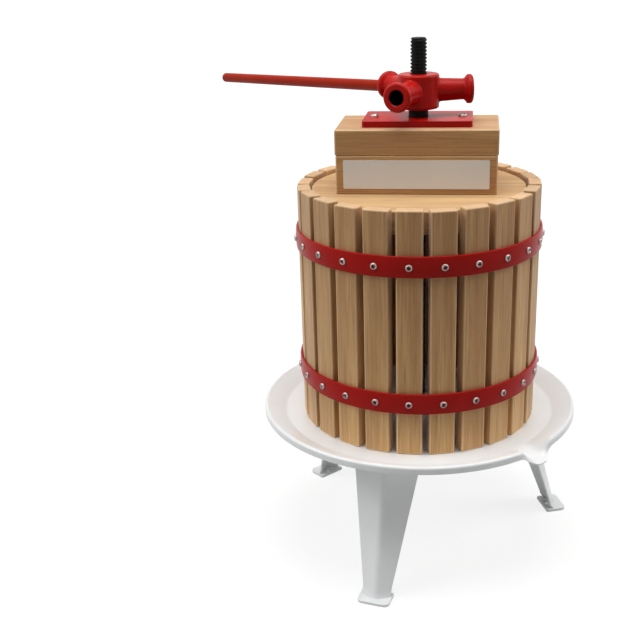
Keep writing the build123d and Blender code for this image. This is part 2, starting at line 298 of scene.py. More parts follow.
def addGrain(piece, along, across, board):  # board coordinates in mm, so that the grain runs along each board
    mesh = piece.data
    through = along.cross(across)
    points = [v.co / mm for v in mesh.vertices]
    normals = [p.normal.copy() for p in mesh.polygons]
    squareness = [max(abs(n.dot(way)) for way in (along, across, through)) for n in normals]
    grain = mesh.attributes.new("grain", "FLOAT_VECTOR", "POINT")
    grain.data.foreach_set("vector", [p.dot(way) for p in points for way in (across, through, along)])
    values = {
        "board": ("POINT", [board] * len(points)),
        "endGrain": ("FACE", [float(abs(n.dot(along)) > beech["endFacing"]) for n in normals]),
        "rounded": ("FACE", [float(share < beech["flatFacing"]) for share in squareness]),
    }
    for name, (domain, numbers) in values.items():
        mesh.attributes.new(name, "FLOAT", domain).data.foreach_set("value", numbers)


def beechPlaned(name, look):
    material, tree, surface = newMaterial(name)
    grain = addNode(tree, "Attribute", {"attribute_name": "grain"}).outputs["Vector"]
    board, ends, rounded = (
        addNode(tree, "Attribute", {"attribute_name": key}).outputs["Fac"]
        for key in ("board", "endGrain", "rounded")
    )
    shifted = addNode(
        tree, "VectorMath", {"operation": "MULTIPLY_ADD", 1: beech["boardShift"]}, {0: board, 2: grain}
    ).outputs[0]

    def stretched(width, length):  # coordinates in which a figure of this size measures one
        scale = (1 / width, 1 / width, 1 / length)
        return addNode(tree, "VectorMath", {"operation": "MULTIPLY", 1: scale}, {0: shifted}).outputs[0]

    drift = addNode(
        tree, "TexNoise", {"Scale": 1.0, "Detail": 1.0}, {"Vector": stretched(*beech["driftSize"])}
    ).outputs["Fac"]
    bands = addNode(
        tree, "TexNoise", {"Scale": 1.0, "Detail": 3.0, "Roughness": 0.55, "Distortion": 0.5},
        {"Vector": stretched(*beech["bandSize"])},
    ).outputs["Fac"]
    fibres = addNode(
        tree, "TexNoise", {"Scale": 1.0, "Detail": 3.0, "Roughness": 0.6},
        {"Vector": stretched(*beech["fibreSize"])},
    ).outputs["Fac"]
    flecks = addNode(
        tree, "TexVoronoi", {"Scale": 1.0, "Randomness": 1.0}, {"Vector": stretched(*beech["fleckSize"])}
    ).outputs["Distance"]
    pores = addNode(
        tree, "TexNoise", {"Scale": 1 / beech["poreSize"], "Detail": 2.0}, {"Vector": shifted}
    ).outputs["Fac"]

    # how much of each colour shows where
    heartShare = addNode(tree, "MapRange", {"From Min": 0.4, "From Max": 0.62}, {"Value": drift})
    bandShare = addNode(
        tree, "MapRange", {"From Min": 0.4, "From Max": 0.66, "To Max": 0.65}, {"Value": bands}
    )
    fibreShare = addNode(
        tree, "MapRange", {"From Min": 0.44, "From Max": 0.72, "To Max": 0.7}, {"Value": fibres}
    )
    fleckDepth = addNode(
        tree, "MapRange", {"From Min": 0.45, "From Max": 0.62, "To Max": 0.4}, {"Value": drift}
    )
    fleckShare = addNode(
        tree, "MapRange", {"From Min": 0.05, "From Max": 0.28, "To Max": 0.0},
        {"Value": flecks, "To Min": fleckDepth.outputs[0]},
    )
    poreShare = addNode(
        tree, "MapRange", {"From Min": 0.35, "From Max": 0.65, "To Min": 0.35, "To Max": 0.95},
        {"Value": pores},
    )
    endShare = addNode(tree, "Math", {"operation": "MULTIPLY"}, {0: ends, 1: poreShare.outputs[0]})
    # painted highlight on the rounded edges
    edgeHighlightShare = addNode(tree, "Math", {"operation": "MULTIPLY", 1: 0.6}, {0: rounded})

    colour = addNode(
        tree, "Mix", {"data_type": "RGBA", 6: hexColour(beech["ground"]), 7: hexColour(beech["heart"])},
        {0: heartShare.outputs[0]},
    ).outputs[2]
    layers = {
        "band": bandShare, "fibre": fibreShare, "fleck": fleckShare, "end": endShare, "edgeHighlight": edgeHighlightShare,
    }
    for key, share in layers.items():
        colour = addNode(
            tree, "Mix", {"data_type": "RGBA", 7: hexColour(beech[key])}, {0: share.outputs[0], 6: colour}
        ).outputs[2]

    # each board has its own tone; upright ones are painted darker and redder towards the top as shade
    darkest, palest = (look["shade"] * tone for tone in beech["boardTones"])
    boardTone = addNode(tree, "MapRange", {"To Min": darkest, "To Max": palest}, {"Value": board})
    height = addNode(tree, "SeparateXYZ", {}, {0: grain}).outputs["Z"]
    reach = {"From Min": beech["topShadeFrom"], "From Max": beech["topShadeTo"]}
    # painted shade: the tone darkens and the hue reddens towards the upper end
    topShading = addNode(
        tree, "MapRange", {**reach, "To Min": 1.0, "To Max": look["paintedTopShade"]}, {"Value": height}
    )
    hue = addNode(
        tree, "MapRange", {**reach, "To Min": look["hue"], "To Max": look["paintedTopHue"]}, {"Value": height}
    )
    tone = addNode(tree, "Math", {"operation": "MULTIPLY"}, {0: boardTone.outputs[0], 1: topShading.outputs[0]})
    toned = addNode(
        tree, "HueSaturation", {}, {"Hue": hue.outputs[0], "Value": tone.outputs[0], "Color": colour}
    )
    roughness = addNode(tree, "MapRange", {"To Min": 0.5, "To Max": 0.72}, {"Value": fibres})
    relief = addNode(
        tree, "Bump", {"Strength": 0.35, "Distance": beech["reliefDepth"] * mm}, {"Height": fibres}
    )
    setNode(tree, surface, {
        "Specular IOR Level": 0.45,
        "Sheen Weight": 0.4,  # fibre ends catch light at a flat angle
        "Sheen Roughness": 0.5,
        "Sheen Tint": hexColour(beech["sheen"]),
    }, {"Base Color": toned.outputs[0], "Roughness": roughness.outputs[0], "Normal": relief.outputs[0]})
    return material


slatBeech = beechPlaned("beech planed slats", {  # pale, upper ends painted darker and redder as shade
    "shade": 1.11, "paintedTopShade": 0.76, "hue": 0.4985, "paintedTopHue": 0.4935,  # a hue of 0.5 changes nothing
})
blockBeech = beechPlaned("beech planed blocks", {  # darker and redder: board tone and painted shade
    "shade": 0.88, "paintedTopShade": 1.0, "hue": 0.494, "paintedTopHue": 0.494,
})
discBeech = beechPlaned("beech planed disc", {  # between the two, yellower: board tone and painted light
    "shade": 0.94, "paintedTopShade": 1.0, "hue": 0.5015, "paintedTopHue": 0.5015,
})


# Paint, plating and vinyl: paint is glossy with a faint orange peel, coarser where it covers a casting, and
# plated, blackened or drilled metal is cloudy, never evenly bright
paint = {
    "cloudSize": 35.0,  # mm, colour and gloss drift over about this length
    "cloudDetail": 3.0,
    "peelDetail": 1.5,
    "peelStrength": 0.5,
    "glossRange": (0.75, 1.3),  # times the roughness
    "metallic": 0.0,
    "coatRoughness": 0.12,
}
steel = {
    "cloudSize": 2.5,  # coarser than real crystals, so that the clouds show
    "cloudDetail": 4.0,
    "peelSize": 2.5,
    "peelDetail": 4.0,
    "peelStrength": 0.3,
    "peelDepth": 0.05,
    "glossRange": (0.6, 1.4),
    "metallic": 1.0,
    "shine": 0.5,
    "coat": 0.0,
    "coatRoughness": 0.12,
}


def hardFinish(name, kind, own):
    look = {**kind, **own}
    material, tree, surface = newMaterial(name)
    place = addNode(tree, "TexCoord", {}).outputs["Object"]
    cloud, peel = (
        addNode(
            tree, "TexNoise", {"Scale": 1 / (look[key + "Size"] * mm), "Detail": look[key + "Detail"]},
            {"Vector": place},
        ).outputs["Fac"]
        for key in ("cloud", "peel")
    )
    tint = addNode(
        tree, "Mix", {"data_type": "RGBA", 6: hexColour(look["colour"]), 7: hexColour(look["darker"])},
        {0: cloud},
    )
    glossiest, dullest = (look["roughness"] * share for share in look["glossRange"])
    gloss = addNode(tree, "MapRange", {"To Min": glossiest, "To Max": dullest}, {"Value": cloud})
    relief = addNode(
        tree, "Bump", {"Strength": look["peelStrength"], "Distance": look["peelDepth"] * mm}, {"Height": peel}
    )
    setNode(tree, surface, {
        "Metallic": look["metallic"],
        "Specular IOR Level": look["shine"],
        "Coat Weight": look["coat"],
        "Coat Roughness": look["coatRoughness"],
    }, {"Base Color": tint.outputs[2], "Roughness": gloss.outputs[0], "Normal": relief.outputs[0]})
    return material


redCasting = hardFinish("red enamel on cast iron", paint, {  # its sandy skin breaks up highlights
    "colour": "#bd150e", "darker": "#a3100a", "peelSize": 1.6, "peelDepth": 0.12,
    "roughness": 0.34, "shine": 0.1, "coat": 0.04,
})
redBar = hardFinish("red enamel on drawn bar", paint, {  # thin and duller, with more orange in it
    "colour": "#a42405", "darker": "#8f1c04", "peelSize": 1.8, "peelDepth": 0.05,
    "roughness": 0.45, "shine": 0.05, "coat": 0.02,
})
redBand = hardFinish("red enamel on rolled steel", paint, {  # smooth and even, with a fine orange peel
    "colour": "#b8160f", "darker": "#a2110b", "peelSize": 2.2, "peelDepth": 0.04,
    "roughness": 0.3, "shine": 0.08, "coat": 0.04,
})
whiteEnamel = hardFinish("white enamel on pressed steel", paint, {  # bright, with broad soft reflections
    "colour": "#f2f4f4", "darker": "#ebedee", "peelSize": 3.0, "peelDepth": 0.03,
    "roughness": 0.32, "shine": 0.4, "coat": 0.2,
})
labelVinyl = hardFinish("matt white vinyl", paint, {  # flat and plain, with hardly any gloss
    "colour": "#f6f7f7", "darker": "#edeeee", "peelSize": 0.8, "peelDepth": 0.01,
    "roughness": 0.5, "shine": 0.4, "coat": 0.0,
})
# its warmth is partly dulled plating, partly a painted reflection of the red paint around
zincSteel = hardFinish("zinc plated steel", steel, {  # bright warm grey with a cloudy sheen
    "colour": "#aea6a1", "darker": "#8a817c", "roughness": 0.32,
})
boreShadeIron = hardFinish("bare cast iron in bore shade", steel, {  # bare metal, painted dark as bore shade
    "colour": "#332f2c", "darker": "#211e1c", "roughness": 0.6,
})
blackSteel = hardFinish("blackened oiled steel", steel, {  # nearly black, its oxide hides the metal
    "colour": "#141411", "darker": "#0a0a08", "roughness": 0.5, "metallic": 0.0, "shine": 0.1,
})
print("materials made")


# Tray: pressed pan with a rolled rim, drawn out into a pouring lip at one side
tray = {
    "floorZ": heights("slat_01")[0],  # the basket stands on the floor of the tray
    "holeRadius": 7.6,
    "floorRadius": 125.0,
    "floorFlat": 30.0,  # flat ring inside the bend
    "floorBend": 9.0,
    "rimRadius": 145.3,
    "rimBend": 2.4,
    "bendSteps": 8,
    "peak": 9.0,
    "skirt": 7.8,
    "sheet": 1.6,
    "lipAzimuth": 47.5,
    "lipRadius": 151.0,
    "lipDrop": 6.0,
    "lipCurve": 1.6,  # above 1 the lip falls more steeply towards its end
    "lipHalfWidth": 22.0,
    "lipThroat": 3.5,
    "lipStep": 0.4,  # degrees between the sections, finer at the lip
    "step": 2.0,
}


def trayAzimuths():
    half = math.degrees(tray["lipHalfWidth"] / tray["rimRadius"])
    reach = int(half / tray["lipStep"]) + 1
    fine = [tray["lipAzimuth"] + k * tray["lipStep"] for k in range(-reach, reach + 1)]
    rest = 360 - (fine[-1] - fine[0])
    coarseCount = int(rest / tray["step"])
    return fine + [fine[-1] + rest / coarseCount * k for k in range(1, coarseCount)]


def trayPath(azimuth):  # upper side of the sheet from the hole to the skirt's lower edge
    hole, floor, rim = tray["holeRadius"], tray["floorRadius"], tray["rimRadius"]
    plain = roundedPath([
        (hole, 0, 0),
        (floor - tray["floorFlat"], 0, 0),
        (floor, 0, tray["floorBend"]),
        (rim, tray["peak"], tray["rimBend"]),
        (rim, tray["peak"] - tray["skirt"], 0),
    ], closed=False, steps=tray["bendSteps"])
    away = math.radians(abs(azimuth - tray["lipAzimuth"])) * rim
    share = (tray["lipHalfWidth"] - away) / (tray["lipHalfWidth"] - tray["lipThroat"])
    share = min(1, max(0, share))
    share = share * share * (3 - 2 * share)  # eased, so that no crease shows where the lip begins
    if share == 0:
        return plain
    lengths = [0]
    for a, b in zip(plain, plain[1:]):
        lengths.append(lengths[-1] + (b - a).length)
    lipStart = floor - tray["floorBend"] / 2
    flat = lipStart - hole
    reach = rim + (tray["lipRadius"] - rim) * share ** 2
    path = []
    for point, length in zip(plain, lengths):
        along = (length - flat) / (lengths[-1] - flat)
        if along <= 0:
            path.append(point)
            continue
        fall = tray["lipDrop"] * along ** tray["lipCurve"]
        path.append(point.lerp(Vector((lipStart + (reach - lipStart) * along, -fall)), share))
    return path


def buildTray():
    columns = []
    for azimuth in trayAzimuths():
        path = trayPath(azimuth)
        under = []
        for i, point in enumerate(path):
            run = path[min(i + 1, len(path) - 1)] - path[max(i - 1, 0)]
            under.append(point + Vector((run.y, -run.x)).normalized() * tray["sheet"])
        direction = outward(azimuth)
        columns.append([direction * p.x + up * (tray["floorZ"] + p.y) for p in path + under[::-1]])
    bm = skin(columns, closeRows=True)
    makePiece(
        "drip_tray_pressed", bm, whiteEnamel, "stand", ["drip_tray"],
        smooth=50, weighted=False,
    )


buildTray()
print("tray made")


# Legs: folded angle, splayed, both flanges tapering, tongue under the tray and foot tab turned out
leg = {
    "azimuths": {"leg_front": -12.8, "leg_right": 107.2, "leg_left": 227.2},
    "sheet": 2.0,
    "edge": 0.5,
    "foldBend": 6.0,
    "bendSteps": 5,
    "wideSlant": 28.7,
    "narrowSlant": 31.0,
    "kneeZ": 9.0,
    "kneeCurve": 1.7,  # above 1 the turn into the tab tightens towards the foot
    "footZ": 2.5,
    "levels": 6,  # sections below the knee, and as many above it
    "fold": (109.7, 141.6, 145.0),  # at the tray, at the knee and at the foot
    "wide": (39.5, 15.8, 15.0),
    "narrow": (35.3, 15.0, 14.2),
    "tongueEnd": 66.0,
    "tongueHalf": 22.0,
    "tongueCorner": 5.0,
    "tongueEdge": 0.4,
    "foot": (130.0, 150.0, -15.0, 14.0),  # near, far, left and right side of the tab
    "footCorners": (2.0, 5.0),  # near and far
    "holeAt": 136.0,
    "holeRadius": 2.75,
    "holeSegments": 24,
    "boltAt": 80.0,
    "boltGap": 14.0,
}


def legSize(key, height):  # straight from tray to knee, then curving out into the tab
    atTray, atKnee, atFoot = leg[key]
    if height >= leg["kneeZ"]:
        share = (height - leg["kneeZ"]) / (tray["floorZ"] - tray["sheet"] - leg["kneeZ"])
        return atKnee + (atTray - atKnee) * share
    share = (leg["kneeZ"] - height) / (leg["kneeZ"] - leg["footZ"])
    return atKnee + (atFoot - atKnee) * share ** leg["kneeCurve"]


def flangeEnds(height):  # free edges of both flanges, outside, with the way towards the inside
    fold = legSize("fold", height)
    ends = []
    for key, side in (("wide", -1), ("narrow", 1)):
        slant = math.radians(leg[key + "Slant"])
        along = Vector((-math.sin(slant), side * math.cos(slant)))
        inwards = Vector((-math.cos(slant), -side * math.sin(slant)))
        ends.append((Vector((fold, 0)) + along * legSize(key, height), inwards))
    return fold, ends


def legSection(height):  # closed outline of the folded sheet at a height
    thick, edge, bend = leg["sheet"], leg["edge"], leg["foldBend"]
    fold, ((wideEnd, wideIn), (narrowEnd, narrowIn)) = flangeEnds(height)
    depth = thick / math.cos(math.radians((leg["wideSlant"] + leg["narrowSlant"]) / 2))
    return roundedPath([
        (*wideEnd, edge), (fold, 0, bend), (*narrowEnd, edge), (*(narrowEnd + narrowIn * thick), edge),
        (fold - depth, 0, bend - thick), (*(wideEnd + wideIn * thick), edge),
    ], steps=leg["bendSteps"])


def buildLeg(name, azimuth):
    top = tray["floorZ"] - tray["sheet"]
    foot, knee, count, thick = leg["footZ"], leg["kneeZ"], leg["levels"], leg["sheet"]
    levels = [foot + (knee - foot) * k / count for k in range(count)]
    levels += [knee + (top - knee) * k / count for k in range(count + 1)]
    rows = [[(p.x, p.y, level) for p in legSection(level)] for level in levels]
    sunk = [(x, y, z - foot / 2) for x, y, z in rows[0]]  # into the foot tab, to join with it
    flanges = skin([sunk] + rows, caps=True)
    fold, ends = flangeEnds(top)
    wideMiddle, narrowMiddle = (end + inwards * thick / 2 for end, inwards in ends)  # inside the sheet
    back, half, corner = leg["tongueEnd"], leg["tongueHalf"], leg["tongueCorner"]
    outline = roundedPath([
        (back, -half, corner), (*wideMiddle, 0), (fold - thick, 0, 0), (*narrowMiddle, 0),
        (back, half, corner),
    ])
    tongue = sheet(outline, [], top - thick, thick, leg["tongueEdge"])
    near, far, left, right = leg["foot"]
    nearCorner, farCorner = leg["footCorners"]
    outline = roundedPath([
        (near, left, nearCorner), (far, left, farCorner), (far, right, farCorner), (near, right, nearCorner),
    ])
    hole = (leg["holeAt"], 0, leg["holeRadius"], leg["holeSegments"])
    tab = sheet(outline, [hole], 0, foot, leg["edge"])
    tongueAndTab = placed(tab, [Matrix.Identity(4)], tongue)
    bm = combined(helperObject(flanges), helperObject(tongueAndTab), "UNION")
    bmesh.ops.dissolve_degenerate(bm, dist=sliver, edges=bm.edges)
    bm.transform(turned(azimuth))
    makePiece(name + "_folded", bm, whiteEnamel, "stand", [name])


for name, azimuth in leg["azimuths"].items():
    buildLeg(name, azimuth)
print("legs made")


# Bolts, nuts and washers that hold legs and spindle to the tray
bolt = {
    "flats": 10.0,
    "headHeight": 4.0,
    "headBevel": 0.7,
    "shankRadius": 3.0,
    "shankSunk": 1.0,  # into the head, to join with it
    "length": 14.0,
    "tipBevel": 0.6,
    "nutHeight": 5.0,
    "nutBevel": 0.6,
    "nutPlay": 0.2,
    "segments": 16,
}
clamp = {
    "flats": 22.0,
    "bore": 7.1,
    "nutHeight": 10.0,
    "nutBevel": 1.2,
    "nutPlay": 0.3,
    "washerRadius": 15.0,
    "washerHeight": 2.5,
    "backingRadius": 26.0,
    "backingHeight": 4.0,
    "washerEdges": (0.3, 0.5, 0.7, 0.5),
    "segments": 64,
}


def boltPlaces(z):
    spots = [(leg["boltAt"], -leg["boltGap"]), (leg["boltAt"], leg["boltGap"])]
    return [turned(a) @ Matrix.Translation((x, y, z)) for a in leg["azimuths"].values() for x, y in spots]


def buildBolts():
    head = hexPrism(bolt["flats"], 0, bolt["headHeight"], bolt["headBevel"])
    end, radius, tip, sunk = -bolt["length"], bolt["shankRadius"], bolt["tipBevel"], bolt["shankSunk"]
    profile = [(0, end), (radius - tip, end), (radius, end + tip), (radius, sunk), (0, sunk)]
    shank = lathe(profile, bolt["segments"])
    oneBolt = combined(helperObject(head), helperObject(shank), "UNION")
    bolts = placed(oneBolt, boltPlaces(tray["floorZ"]))
    makePiece("leg_bolts_hex", bolts, zincSteel, "stand", ["leg_bolts"])
    height = bolt["nutHeight"]
    oneNut = hexPrism(bolt["flats"], -height, height, bolt["nutBevel"], radius + bolt["nutPlay"])
    nuts = placed(oneNut, boltPlaces(tray["floorZ"] - tray["sheet"] - leg["sheet"]))
    makePiece("leg_nuts_hex", nuts, zincSteel, "stand", ["leg_nuts"])


def buildClamp():  # washers and nuts above and below the floor of the tray
    floorZ = tray["floorZ"]
    backingZ = floorZ - tray["sheet"] - clamp["backingHeight"]
    bore = clamp["bore"]
    washers = {
        "spindle_washer": (clamp["washerRadius"], floorZ, clamp["washerHeight"]),
        "backing_washer": (clamp["backingRadius"], backingZ, clamp["backingHeight"]),
    }
    for name, (radius, bottom, height) in washers.items():
        bm = turnedRing(bore, radius, bottom, bottom + height, clamp["washerEdges"], clamp["segments"])
        makePiece(name + "_turned", bm, zincSteel, "stand", [name])
    seats = {
        "spindle_nut_upper": floorZ + clamp["washerHeight"],
        "spindle_nut_lower": backingZ - clamp["nutHeight"],
    }
    for name, bottom in seats.items():
        bm = hexPrism(clamp["flats"], bottom, clamp["nutHeight"], clamp["nutBevel"], bore + clamp["nutPlay"])
        makePiece(name + "_hex", bm, zincSteel, "stand", [name])


buildBolts()
buildClamp()
print("fasteners made")


# Spindle: trapezoidal thread cut over the whole bar
spindle = {
    "radius": 7.0,
    "root": 6.1,
    "pitch": 3.0,
    "tooth": (0.3, 0.47, 0.83),  # end of the root, start and end of the crest, as shares of the pitch
    "spareTurns": 2,  # wound beyond each end before it is cut square
    "segments": 36,
    "endBevel": 1.2,
}


def buildSpindle():
    bottom, top = heights("spindle")
    pitch, count, spare = spindle["pitch"], spindle["segments"], spindle["spareTurns"]
    root, crest = spindle["root"], spindle["radius"]
    rootEnd, crestStart, crestEnd = spindle["tooth"]
    tooth = [(0, root), (rootEnd, root), (crestStart, crest), (crestEnd, crest)]
    turns = int((top - bottom) / pitch) + 2 * spare
    bm = bmesh.new()
    grid = []
    for k in range(turns * count + 1):
        angle = 2 * math.pi * k / count
        lift = bottom - spare * pitch + pitch * k / count
        grid.append([
            bm.verts.new((radius * math.cos(angle), radius * math.sin(angle), lift + share * pitch))
            for share, radius in tooth
        ])
    for k in range(len(grid) - 1):
        here, ahead = grid[k], grid[k + 1]
        for i in range(len(tooth) - 1):
            bm.faces.new((here[i], ahead[i], ahead[i + 1], here[i + 1]))
        if k + count + 1 < len(grid):  # the last flank runs down to the root of the next turn
            bm.faces.new((here[-1], ahead[-1], grid[k + count + 1][0], grid[k + count][0]))
    for z, normal in ((bottom, -up), (top, up)):
        whole = bm.verts[:] + bm.edges[:] + bm.faces[:]
        cut = bmesh.ops.bisect_plane(bm, geom=whole, plane_co=up * z, plane_no=normal, clear_outer=True)
        rim = [g for g in cut["geom_cut"] if isinstance(g, bmesh.types.BMEdge)]
        bmesh.ops.contextual_create(bm, geom=rim)
    bmesh.ops.dissolve_degenerate(bm, dist=sliver, edges=bm.edges)
    for vert in bm.verts:  # both ends are turned down to a bevel
        room = min(vert.co.z - bottom, top - vert.co.z)
        limit = crest - spindle["endBevel"] + room
        radius = vert.co.xy.length
        if radius > limit:
            vert.co.xy *= limit / radius
    makePiece(
        "spindle_threaded", bm, blackSteel, "stand", ["spindle"], smooth=30, weighted=False
    )


buildSpindle()
print("spindle made")


# Basket: bevelled slats, two hoops and a screw through each hoop into each slat
slat = {
    "count": 24,
    "firstAzimuth": -1.7,
    "drift": 0.8,  # degrees that the side slats stand further back, which closes up the rear
    "faceRadius": 107.0,
    "width": 21.9,
    "thickness": 11.0,
    "edge": 1.3,
    "trim": 1.2,  # tops are sawn a little unevenly
    "seed": 11,
}
hoop = {
    "inner": 107.7,
    "thickness": 2.4,
    "edge": 0.7,
    "crown": 0.6,  # the strip is rolled domed
    "crownSteps": 8,
    "segments": 192,
}
screw = {
    "headRadius": 3.0,
    "headHeight": 1.9,
    "headRim": 0.25,  # share of the height below the dome
    "domeSteps": 7,
    "crossWidth": 2.0,
    "crossLength": 4.2,
    "crossDepth": 2.6,
    "crossTaper": 0.4,
    "overcut": 1.0,
    "shankRadius": 1.3,
    "shankLength": 8.0,
    "pointLength": 1.5,
    "segments": 20,
    "seed": 5,
}
slatSteps = [360 / slat["count"] * k for k in range(slat["count"])]
slatDrifts = [slat["drift"] * math.sin(math.radians(step)) for step in slatSteps]
slatAzimuths = [slat["firstAzimuth"] + step + drift for step, drift in zip(slatSteps, slatDrifts)]


def buildSlats():
    rng = random.Random(slat["seed"])
    middle = slat["faceRadius"] - slat["thickness"] / 2
    for k, azimuth in enumerate(slatAzimuths):
        name = f"slat_{k + 1:02d}"
        bottom, top = heights(name)
        top -= rng.uniform(0, slat["trim"])
        size = (slat["thickness"], slat["width"], top - bottom)
        bm = block(size, (middle, 0, (top + bottom) / 2), slat["edge"])
        bm.transform(turned(azimuth))
        piece = makePiece(name + "_planed", bm, slatBeech, "basket", [name])
        addGrain(piece, up, sideways(azimuth), rng.random())


def crossHead():  # pan head with a cross recess, pointing along x
    radius, height, rim = screw["headRadius"], screw["headHeight"], screw["headRim"]
    angles = [math.pi / 2 * k / screw["domeSteps"] for k in range(screw["domeSteps"])]
    dome = [(radius * math.cos(a), height * rim + height * (1 - rim) * math.sin(a)) for a in angles]
    tip, shank = -screw["shankLength"], screw["shankRadius"]
    profile = [(0, tip), (shank, tip + screw["pointLength"]), (shank, 0), (radius, 0), *dome, (0, height)]
    head = lathe(profile, screw["segments"])
    arm, half = screw["crossLength"] / 2, screw["crossWidth"] / 2
    plan = [(arm, -half), (arm, half), (half, half)]
    for quarter in range(3):
        plan += [(-y, x) for x, y in plan[-3:]]
    levels = [
        (screw["crossTaper"], height - screw["crossDepth"]), (1, height), (1, height + screw["overcut"]),
    ]
    cross = skin([[(x * scale, y * scale, z) for x, y in plan] for scale, z in levels], caps=True)
    result = combined(helperObject(head), helperObject(cross), "DIFFERENCE")
    result.transform(Matrix.Rotation(math.pi / 2, 4, "Y"))
    return result


def buildHoops():
    rng = random.Random(screw["seed"])
    inner, edge, crown = hoop["inner"], hoop["edge"], hoop["crown"]
    outer = inner + hoop["thickness"]
    shares = [k / hoop["crownSteps"] for k in range(1, hoop["crownSteps"])]
    for level in ("lower", "upper"):
        name = "hoop_" + level
        bottom, top = heights(name)
        dome = [(outer - crown * (2 * s - 1) ** 2, bottom + (top - bottom) * s, 0) for s in shares]
        profile = roundedPath([
            (inner, bottom, edge / 2), (outer - crown, bottom, edge), *dome,
            (outer - crown, top, edge), (inner, top, edge / 2),
        ])
        bm = lathe(profile, hoop["segments"], closed=True)
        makePiece(name + "_rolled", bm, redBand, "basket", [name])
        places = []
        for azimuth in slatAzimuths:
            spin = Matrix.Rotation(rng.uniform(0, math.pi), 4, "X")
            places.append(turned(azimuth) @ Matrix.Translation((outer, 0, (bottom + top) / 2)) @ spin)
        screws = placed(crossHead(), places)
        stood = "hoop_screws_" + level
        makePiece(stood + "_crosshead", screws, zincSteel, "basket", [stood], smooth=40)


buildSlats()
buildHoops()
print("basket made")


# Pressing stack: split disc, beams and board, turned a little on the spindle
stack = {
    "turn": -1.1,
    "bore": 9.0,
    "boreSegments": 48,
    "discRadius": 94.5,
    "discEdge": 1.6,
    "discSegments": 64,  # half way round
    "discBoreSegments": 16,
    "kerf": 0.6,
    "lowerLength": 137.2,
    "upperLength": 138.6,
    "depth": 74.6,
    "gap": 20.0,
    "edge": 1.3,
    "longScrewAt": (52.0, 23.6),
    "longScrewHole": 5.2,
    "longScrewSegments": 24,
    "seed": 3,
}
stackTurn = turned(90 + stack["turn"])
stackAlong = outward(90 + stack["turn"])
stackAcross = up.cross(stackAlong)
stackBore = (0, 0, stack["bore"], stack["boreSegments"])


def woodPiece(name, bm, material, board):
    bm.transform(stackTurn)
    node = name.rsplit("_", 1)[0]
    piece = makePiece(name, bm, material, "press_stack", [node])
    addGrain(piece, stackAlong, stackAcross, board)


def halfDisc(sign):  # outline of one half of the disc, with half of the spindle's hole
    arcs = ((stack["discRadius"], stack["discSegments"], 1), (stack["bore"], stack["discBoreSegments"], -1))
    outline = []
    for radius, count, way in arcs:
        start = math.asin(stack["kerf"] / 2 / radius)
        angles = [start + (math.pi - 2 * start) * k / count for k in range(count + 1)]
        outline += [Vector((radius * math.cos(a), sign * radius * math.sin(a))) for a in angles[::way]]
    return outline


def buildStack():
    rng = random.Random(stack["seed"])
    beam = (stack["depth"] - stack["gap"]) / 2
    screwX, screwY = stack["longScrewAt"]
    screwHole = (stack["longScrewHole"], stack["longScrewSegments"])
    for side, sign in (("front", -1), ("rear", 1)):
        bottom, top = heights("disc_" + side)
        holes = [(way * screwX, sign * screwY, *screwHole) for way in (-1, 1)]
        disc = sheet(halfDisc(sign), holes, bottom, top - bottom, stack["discEdge"])
        woodPiece(f"disc_{side}_planed", disc, discBeech, rng.random())
        bottom, top = heights("lower_block_" + side)
        centre = (0, sign * (stack["gap"] + beam) / 2, (bottom + top) / 2)
        lower = block((stack["lowerLength"], beam, top - bottom), centre, stack["edge"])
        woodPiece(f"lower_block_{side}_planed", lower, blockBeech, rng.random())
    bottom, top = heights("upper_block")
    outline = rectangle(stack["upperLength"], stack["depth"])
    upper = sheet(outline, [stackBore], bottom, top - bottom, stack["edge"], segments=3)
    woodPiece("upper_block_planed", upper, blockBeech, rng.random())


buildStack()
print("stack made")


# Steel plate on the board with its two screws, and the collar that the nut bears on
plate = {
    "length": 93.4,
    "depth": 53.8,
    "corner": 2.5,
    "edge": 0.9,
    "screwAt": 38.0,
    "screwScale": 1.3,  # larger than those of the hoops
}
collar = {"inner": 7.3, "outer": 8.5, "edges": (0, 0.3, 0.4, 0.2), "segments": 64}


def buildPlate():
    bottom, top = heights("pressure_plate")
    outline = rectangle(plate["length"], plate["depth"], plate["corner"])
    bm = sheet(outline, [stackBore], bottom, top - bottom, plate["edge"])
    bm.transform(stackTurn)
    makePiece("pressure_plate_painted", bm, redCasting, "press_stack", ["pressure_plate"])
    upright = Matrix.Rotation(-math.pi / 2, 4, "Y") @ Matrix.Scale(plate["screwScale"], 4)
    spots = [Matrix.Translation((sign * plate["screwAt"], 0, top)) for sign in (-1, 1)]
    screws = placed(crossHead(), [stackTurn @ spot @ upright for spot in spots])
    makePiece(
        "plate_screws_crosshead", screws, zincSteel, "press_stack", ["plate_screws"], smooth=40
    )


def buildCollar():
    bottom, top = heights("thrust_collar")
    bm = turnedRing(collar["inner"], collar["outer"], bottom, top, collar["edges"], collar["segments"])
    makePiece("thrust_collar_turned", bm, blackSteel, "press_stack", ["thrust_collar"])


buildPlate()
buildCollar()
print("plate and collar made")


# Blank label plate on the front beam, with nothing printed on it
label = {"width": 124.0, "height": 24.8, "raised": 0.6, "thickness": 0.3, "corner": 1.0, "edge": 0.1}


def buildLabel():
    bottom, top = heights("lower_block_front")
    outline = rectangle(label["width"], label["height"], label["corner"])
    bm = sheet(outline, [], 0, label["thickness"], label["edge"])
    place = Matrix.Translation((0, -stack["depth"] / 2, (bottom + top) / 2 + label["raised"]))
    bm.transform(stackTurn @ place @ Matrix.Rotation(math.pi / 2, 4, "X"))
    makePiece("label_plate_blank", bm, labelVinyl, "press_stack", [])


buildLabel()
print("label plate made")


